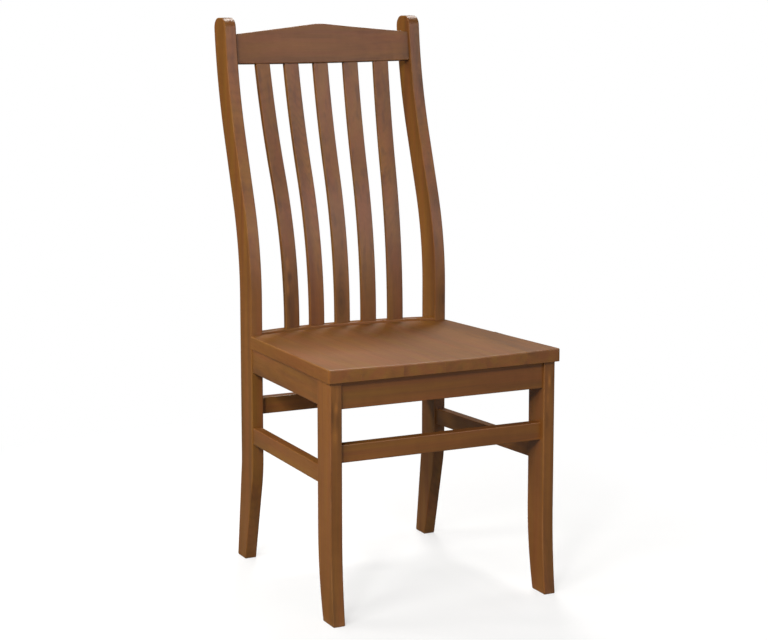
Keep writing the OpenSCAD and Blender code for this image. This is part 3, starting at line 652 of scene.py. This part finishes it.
def carveSeat(bm, left, right):  # cuts a board into a grid, then hollows it and lets it fall
    columns = math.ceil((right - left) / seat["column"])
    cuts = [(0, left + (right - left) * k / columns) for k in range(1, columns)]
    cuts += [(1, y) for y in range(seat["firstRow"], seat["rowsEnd"], seat["row"])]
    for axis, cutAt in cuts:
        spot, normal = [0, 0, 0], [0, 0, 0]
        spot[axis], normal[axis] = cutAt, 1
        bmesh.ops.bisect_plane(bm, geom=[*bm.verts, *bm.edges, *bm.faces], dist=0.05,
                               plane_co=spot, plane_no=normal)
    for vert in bm.verts:
        x, y = vert.co.x, vert.co.y
        if y > postY + apart and abs(x) < inner + hair:
            y = vert.co.y = railFront(x)
        vert.co.z = seatSurface(x, y) if vert.co.z > -apart else seatUnder(y)
    bmesh.ops.recalc_face_normals(bm, faces=bm.faces)


def outline(edge):  # the seat's own front and side edges, not its joints or its rear
    middle = (edge.verts[0].co + edge.verts[1].co) / 2
    flat = abs(edge.verts[0].co.z - edge.verts[1].co.z) < seat["thick"] / 2
    return flat and (middle.y < -seat["frontOver"] + seat["cornerRadius"] / 2
                     or abs(middle.x) > outerX(middle.y) - seat["cornerRadius"] / 2)


def onTop(edge):
    return all(v.co.z > seatUnder(v.co.y) + seat["thick"] / 2 for v in edge.verts)


def alongJoint(edge):  # on the top and the front of a glue joint
    a, b = edge.verts
    return any(abs(a.co.x - x) < hair and abs(b.co.x - x) < hair for x in glueLines) \
        and max(a.co.z - seatUnder(a.co.y), b.co.z - seatUnder(b.co.y)) > apart \
        and min(a.co.y, b.co.y) < postY


for n, (left, right) in enumerate(zip(boardEdges, boardEdges[1:])):
    bm = seatBlank(left, right)
    carveSeat(bm, left, right)
    easeArrises(bm, seat["ease"], lambda edge: outline(edge) and onTop(edge))
    easeArrises(bm, seat["underEase"], lambda edge: outline(edge) and not onTop(edge), steps=2)
    easeArrises(bm, seat["joint"], alongJoint, steps=1)
    markGrain(bm, "y", ((left + right) / 2 + seat["piths"][n],
                        seat["pithDeep"] + seat["pithStep"] * n),
              seat["start"] + seat["startStep"] * n)
    finishPiece(bm, f"seatBoard{n + 1}", [f"seat_board_{n + 1}"], seatWood,
                seat["tones"][n])
print("seat boards shaped")

# Corner blocks and screws keep the shapes that they have
block = {"dark": "#B48C5C", "light": "#C9A475", "fibreSize": (9, 380, 380),
         "cloudSize": (6, 30, 30), "sawSize": (900, 60, 60), "sawMarks": 0.6}
zinc = {"dark": "#8F8B7E", "light": "#C6C2B4", "filmSize": (300, 300, 300)}


def bareWood(name):
    board = NodeBoard(bpy.data.materials.new(name))
    place = board.add("TexCoord", 3)
    fibres = board.noise(place, block["fibreSize"], 4, 0.6)
    cloud = board.noise(place, block["cloudSize"], 2)
    saw = board.noise(place, block["sawSize"], 2)
    colour = board.blend(cloud, linear(block["dark"]), linear(block["light"]))
    colour = board.blend(1.0, colour, board.spread(fibres, 0.25, 0.75, 0.82, 1.1), "MULTIPLY")
    board.put(board.shader.inputs["Base Color"], colour)
    board.put(board.shader.inputs["Roughness"], board.spread(fibres, 0.2, 0.8, 0.62, 0.8))
    board.put(board.shader.inputs["Normal"], board.add("Bump", sockets={
        "Strength": 0.5, "Distance": 0.0003,
        "Height": board.maths("ADD", board.maths("MULTIPLY", saw, block["sawMarks"]), fibres)}))
    return board.owner


def zincSteel(name):
    board = NodeBoard(bpy.data.materials.new(name))
    film = board.noise(board.add("TexCoord", 3), zinc["filmSize"], 3)
    board.put(board.shader.inputs["Base Color"],
              board.blend(film, linear(zinc["dark"]), linear(zinc["light"])))
    board.shader.inputs["Metallic"].default_value = 1.0
    board.put(board.shader.inputs["Roughness"], board.spread(film, 0.3, 0.7, 0.28, 0.5))
    board.put(board.shader.inputs["Normal"], board.add("Bump", sockets={
        "Strength": 0.2, "Distance": 0.0001, "Height": film}))
    return board.owner


blockWood, screwSteel = bareWood("blockWood"), zincSteel("screwSteel")
for node, made in (("front_left_block", blockWood), ("front_right_block", blockWood),
                   ("rear_left_block", blockWood), ("rear_right_block", blockWood),
                   ("block_screws", screwSteel), ("seat_screws", screwSteel)):
    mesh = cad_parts[node].data
    mesh.materials.clear()
    mesh.materials.append(made)
print("blocks and screws finished")

# Studio: the camera's eye in millimetres and degrees, its focal length and shift in pixels
studio = {"eye": (-1602.82, -3037.41, 1139.39), "turn": -26.01, "tip": -8.99,
          "focal": 1991.02, "shift": 40, "frame": 768, "sensor": 36,
          "aim": (0, 0, 0.55), "lampColour": (1.0, 0.98, 0.95), "air": 0.04,
          "floorRadius": 9, "floorGrey": 0.12, "floorGlow": 0.11,
          "shadow": (0.62, 1), "shadowFades": (0.35, 1.3)}
white = (1, 1, 1, 1)
camera = bpy.data.cameras.new("camera")
camera.sensor_width = studio["sensor"]
camera.lens = studio["focal"] / studio["frame"] * camera.sensor_width
camera.shift_y = -studio["shift"] / studio["frame"]
eye = bpy.data.objects.new("camera", camera)
eye.location = Vector((studio["eye"][0], studio["eye"][1] - middleY, studio["eye"][2])) * metre
eye.rotation_euler = (math.radians(90 + studio["tip"]), 0, math.radians(studio["turn"]))
bpy.context.scene.collection.objects.link(eye)
bpy.context.scene.camera = eye

# Lamps light the wood and stay out of its gloss, but for the last three, which only gleam in it
lamps = (
    {"name": "key", "place": (-2.2, -2.8, 2.35), "size": (0.5, 0.5), "power": 64},
    {"name": "softKey", "place": (-3.0, -1.65, 2.6), "size": (1.6, 1.6), "power": 74},
    {"name": "left", "place": (-4.0, 0.1, 1.0), "size": (1.6, 1.6), "power": 16},
    {"name": "leftHigh", "place": (-2.95, 2.1, 2.4), "size": (0.5, 0.5), "power": 22},
    {"name": "leftLow", "place": (-3.55, 1.35, 2.0), "size": (0.6, 0.6), "power": 26},
    {"name": "front", "place": (0, -3.9, 1.0), "size": (1.6, 1.6), "power": 24},
    {"name": "leftTop", "place": (-1.65, 0.6, 4.2), "size": (1.2, 1.2), "power": 8},
    {"name": "rearLeft", "place": (-1.15, 2.1, 3.9), "size": (1.6, 1.6), "power": 18},
    {"name": "rear", "place": (0, 3.55, 2.6), "size": (1.6, 1.6), "power": 44},
    {"name": "right", "place": (4.0, 0.3, 1.0), "size": (1.6, 1.6), "power": 36},
    {"name": "rightTop", "place": (1.75, 0.6, 4.2), "size": (1.2, 1.2), "power": 8},
    {"name": "overhead", "place": (0.9, 1.8, 3.9), "size": (0.8, 0.8), "power": 72},
    {"name": "seatGlow", "place": (1.1, 1.5, 3.4), "size": (0.8, 0.8), "power": 76,
     "colour": (1.0, 0.99, 0.96), "diffuse": False, "glossy": True},
    {"name": "frontPanel", "place": (1.6, -3.4, 1.85), "size": (3.2, 1.7), "power": 50,
     "colour": (1.0, 0.9, 1.0), "diffuse": False, "glossy": True},
    {"name": "keyGlow", "place": (-3.3, -3.2, 2.8), "size": (1.6, 1.6), "power": 28,
     "colour": (1.0, 0.96, 0.98), "diffuse": False, "glossy": True},
)
for lamp in lamps:
    light = bpy.data.lights.new(lamp["name"], "AREA")
    light.shape, light.size, light.size_y = "ELLIPSE", *lamp["size"]
    light.energy, light.color = lamp["power"], lamp.get("colour", studio["lampColour"])
    holder = bpy.data.objects.new(lamp["name"], light)
    holder.location = lamp["place"]
    holder.rotation_euler = (Vector(studio["aim"]) - Vector(lamp["place"])).to_track_quat(
        "-Z", "Y").to_euler()
    holder.visible_diffuse = lamp.get("diffuse", True)
    holder.visible_glossy = lamp.get("glossy", False)
    bpy.context.scene.collection.objects.link(holder)

# The air is nearly dark around the wood, and white to the camera
world = bpy.data.worlds.new("studio")
bpy.context.scene.world = world
air = NodeBoard(world)
air.tree.nodes.clear()
output = air.tree.nodes.new("ShaderNodeOutputWorld")
air.put(output.inputs["Surface"], air.add("MixShader", sockets={
    0: air.add("LightPath"),
    1: air.add("Background", sockets={"Color": white, "Strength": studio["air"]}),
    2: air.add("Background", sockets={"Color": white, "Strength": 1})}))

bm = bmesh.new()
bmesh.ops.create_circle(bm, cap_ends=True, segments=96, radius=studio["floorRadius"])
mesh = bpy.data.meshes.new("floor")
bm.to_mesh(mesh)
bm.free()
floor = bpy.data.objects.new("floor", mesh)
bpy.context.scene.collection.objects.link(floor)

# To the wood the floor is grey and glows a little, and to the camera it is white, with a shadow
# that fades outwards
pale = NodeBoard(bpy.data.materials.new("paleFloor"))
pale.shader.inputs["Base Color"].default_value = (*[studio["floorGrey"]] * 3, 1)
pale.shader.inputs["Roughness"].default_value = 0.9
pale.shader.inputs["Specular IOR Level"].default_value = 0.0
pale.shader.inputs["Emission Color"].default_value = white
pale.put(pale.shader.inputs["Emission Strength"], pale.maths(
    "MULTIPLY", pale.add("LightPath", 2), studio["floorGlow"]))
distance = pale.vector("LENGTH", pale.add("TexCoord", 3), out=1)
seen = pale.add("MixShader", sockets={
    0: pale.spread(distance, *studio["shadowFades"], *studio["shadow"]),
    1: pale.add("BsdfDiffuse", sockets={"Color": white}),
    2: pale.add("Emission", sockets={"Strength": 1})})
pale.put(pale.tree.nodes["Material Output"].inputs["Surface"], pale.add("MixShader", sockets={
    0: pale.add("LightPath"), 1: pale.shader.outputs[0], 2: seen}))
mesh.materials.append(pale.owner)
bpy.context.scene.view_settings.view_transform = "Standard"
print("studio set")

bpy.context.view_layer.update()
